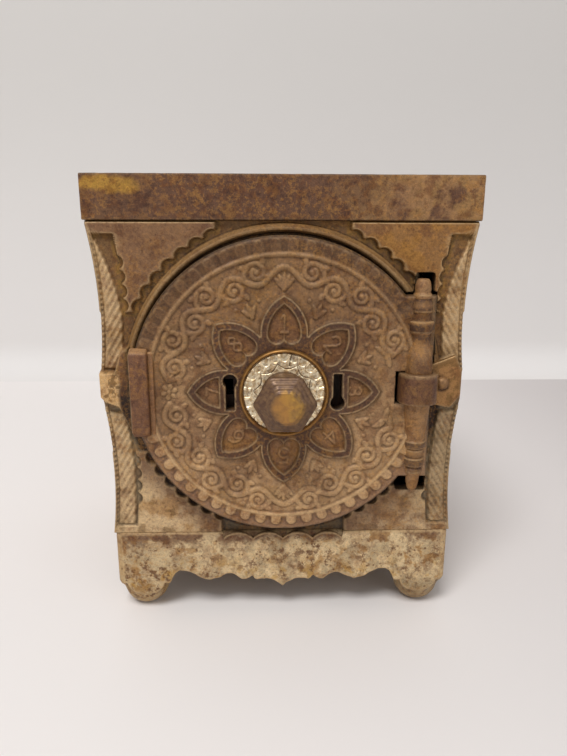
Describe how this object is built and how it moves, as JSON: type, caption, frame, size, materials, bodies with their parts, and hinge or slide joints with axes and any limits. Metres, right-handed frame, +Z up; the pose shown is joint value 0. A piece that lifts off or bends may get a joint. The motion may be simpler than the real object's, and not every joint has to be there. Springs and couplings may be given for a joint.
{
  "type": "safe coin bank",
  "caption": "Cast-iron toy safe coin bank: footed case with a slotted top plate, a round rosette door on a baluster hinge and a combination dial with gated tumblers",
  "frame": {"origin": "on the floor, in the middle of the bounding box's footprint", "axes": "+Z up; the door and the dial face -Y; +X is to the right of someone who looks at the door"},
  "size_m": [0.1234, 0.131, 0.1493],
  "materials": {
    "lid_iron": "worn bronze paint over purplish brown rust",
    "case_iron": "worn bronze paint with bare raised edges",
    "base_iron": "worn cream and olive paint with rust specks",
    "door_iron": "worn bronze paint, dark on the raised rosette",
    "strap_iron": "worn, partly bare iron",
    "lock_iron": "dark unpainted iron",
    "dial_nickel": "worn nickel plating",
    "bezel_brass": "tarnished brass",
    "knob_brass": "tarnished, rubbed golden on its face",
    "disc_brass": "turned brass",
    "plain_steel": "plain steel"
  },
  "bodies": {
    "case": {"top_plate": "lid_iron", "front_frame": "case_iron", "left_side": "case_iron", "right_side": "case_iron", "back_plate": "case_iron", "base": "base_iron", "tie_rods": "plain_steel", "tie_washers": "plain_steel", "tie_nuts": "plain_steel", "hinge_strap": "strap_iron", "strap_rivet": "strap_iron", "strike": "lock_iron", "strike_screws": "plain_steel"},
    "door_leaf": {"door": "door_iron", "bridge_plate": "lock_iron", "bridge_screws": "plain_steel"},
    "dial": {"dial_plate": "dial_nickel", "dial_bezel": "bezel_brass", "knob": "knob_brass", "knob_pin": "plain_steel", "dial_spindle": "plain_steel", "spring_washer": "plain_steel", "drive_cam": "disc_brass", "spacer_washers": "plain_steel", "spindle_nut": "plain_steel"},
    "front_disc": {"front_tumbler": "disc_brass"},
    "rear_disc": {"rear_tumbler": "disc_brass"}
  },
  "joints": [
    {"name": "door_hinge", "type": "hinge", "parent": "case", "child": "door_leaf", "pos_m": [0.0428, -0.046, 0.0831], "axis": [0, 0, 1], "range_deg": [0, 110]},
    {"name": "dial_spin", "type": "hinge", "parent": "door_leaf", "child": "dial", "pos_m": [0, -0.05, 0.0831], "axis": [0, 1, 0], "continuous": true},
    {"name": "front_tumbler_spin", "type": "hinge", "parent": "door_leaf", "child": "front_disc", "pos_m": [0, -0.0374, 0.0831], "axis": [0, 1, 0], "continuous": true},
    {"name": "rear_tumbler_spin", "type": "hinge", "parent": "door_leaf", "child": "rear_disc", "pos_m": [0, -0.0351, 0.0831], "axis": [0, 1, 0], "continuous": true}
  ],
  "couplings": [
    {"joint": "front_tumbler_spin", "follows": "dial_spin", "ratio": 1},
    {"joint": "rear_tumbler_spin", "follows": "dial_spin", "ratio": 1}
  ]
}
